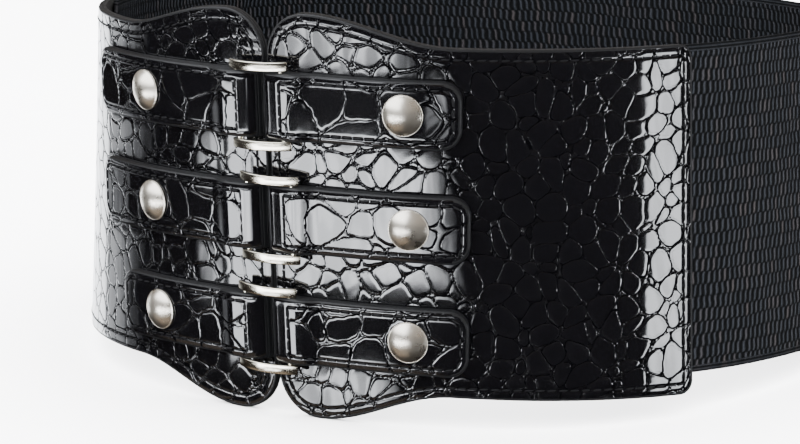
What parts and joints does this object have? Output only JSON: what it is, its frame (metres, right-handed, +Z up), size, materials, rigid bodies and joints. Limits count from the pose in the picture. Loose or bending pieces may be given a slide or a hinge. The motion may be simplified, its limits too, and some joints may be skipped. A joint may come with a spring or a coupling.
{
  "type": "wide elastic waist belt",
  "caption": "Wide elastic waist belt with two glossy embossed leather front panels that peak at the closure, joined by stitched straps, rectangular metal rings and domed studs.",
  "frame": {"origin": "centre of the footprint, on the surface that the belt stands on", "axes": "+Z up, the closure with its rings and studs faces -Y, +X towards the right-hand front panel as seen from the front; the longest side of the box is along X, the shortest along Z"},
  "size_m": [0.2468, 0.223, 0.1258],
  "materials": {
    "patent_leather": "glossy black patent, embossed with irregular scale cells",
    "strap_leather": "glossy black patent, embossed, stitched round the edge",
    "elastic_webbing": "matt, dense upright ribs in staggered rows",
    "satin_nickel": "satin nickel, slightly warm"
  },
  "bodies": {
    "root": {"panel_right": "patent_leather", "panel_left": "patent_leather", "elastic_band": "elastic_webbing", "strap_right_1": "strap_leather", "stud_right_1": "satin_nickel", "strap_left_1": "strap_leather", "stud_left_1": "satin_nickel", "ring_1": "satin_nickel", "strap_right_2": "strap_leather", "stud_right_2": "satin_nickel", "strap_left_2": "strap_leather", "stud_left_2": "satin_nickel", "ring_2": "satin_nickel", "strap_right_3": "strap_leather", "stud_right_3": "satin_nickel", "strap_left_3": "strap_leather", "stud_left_3": "satin_nickel", "ring_3": "satin_nickel"}
  },
  "joints": []
}
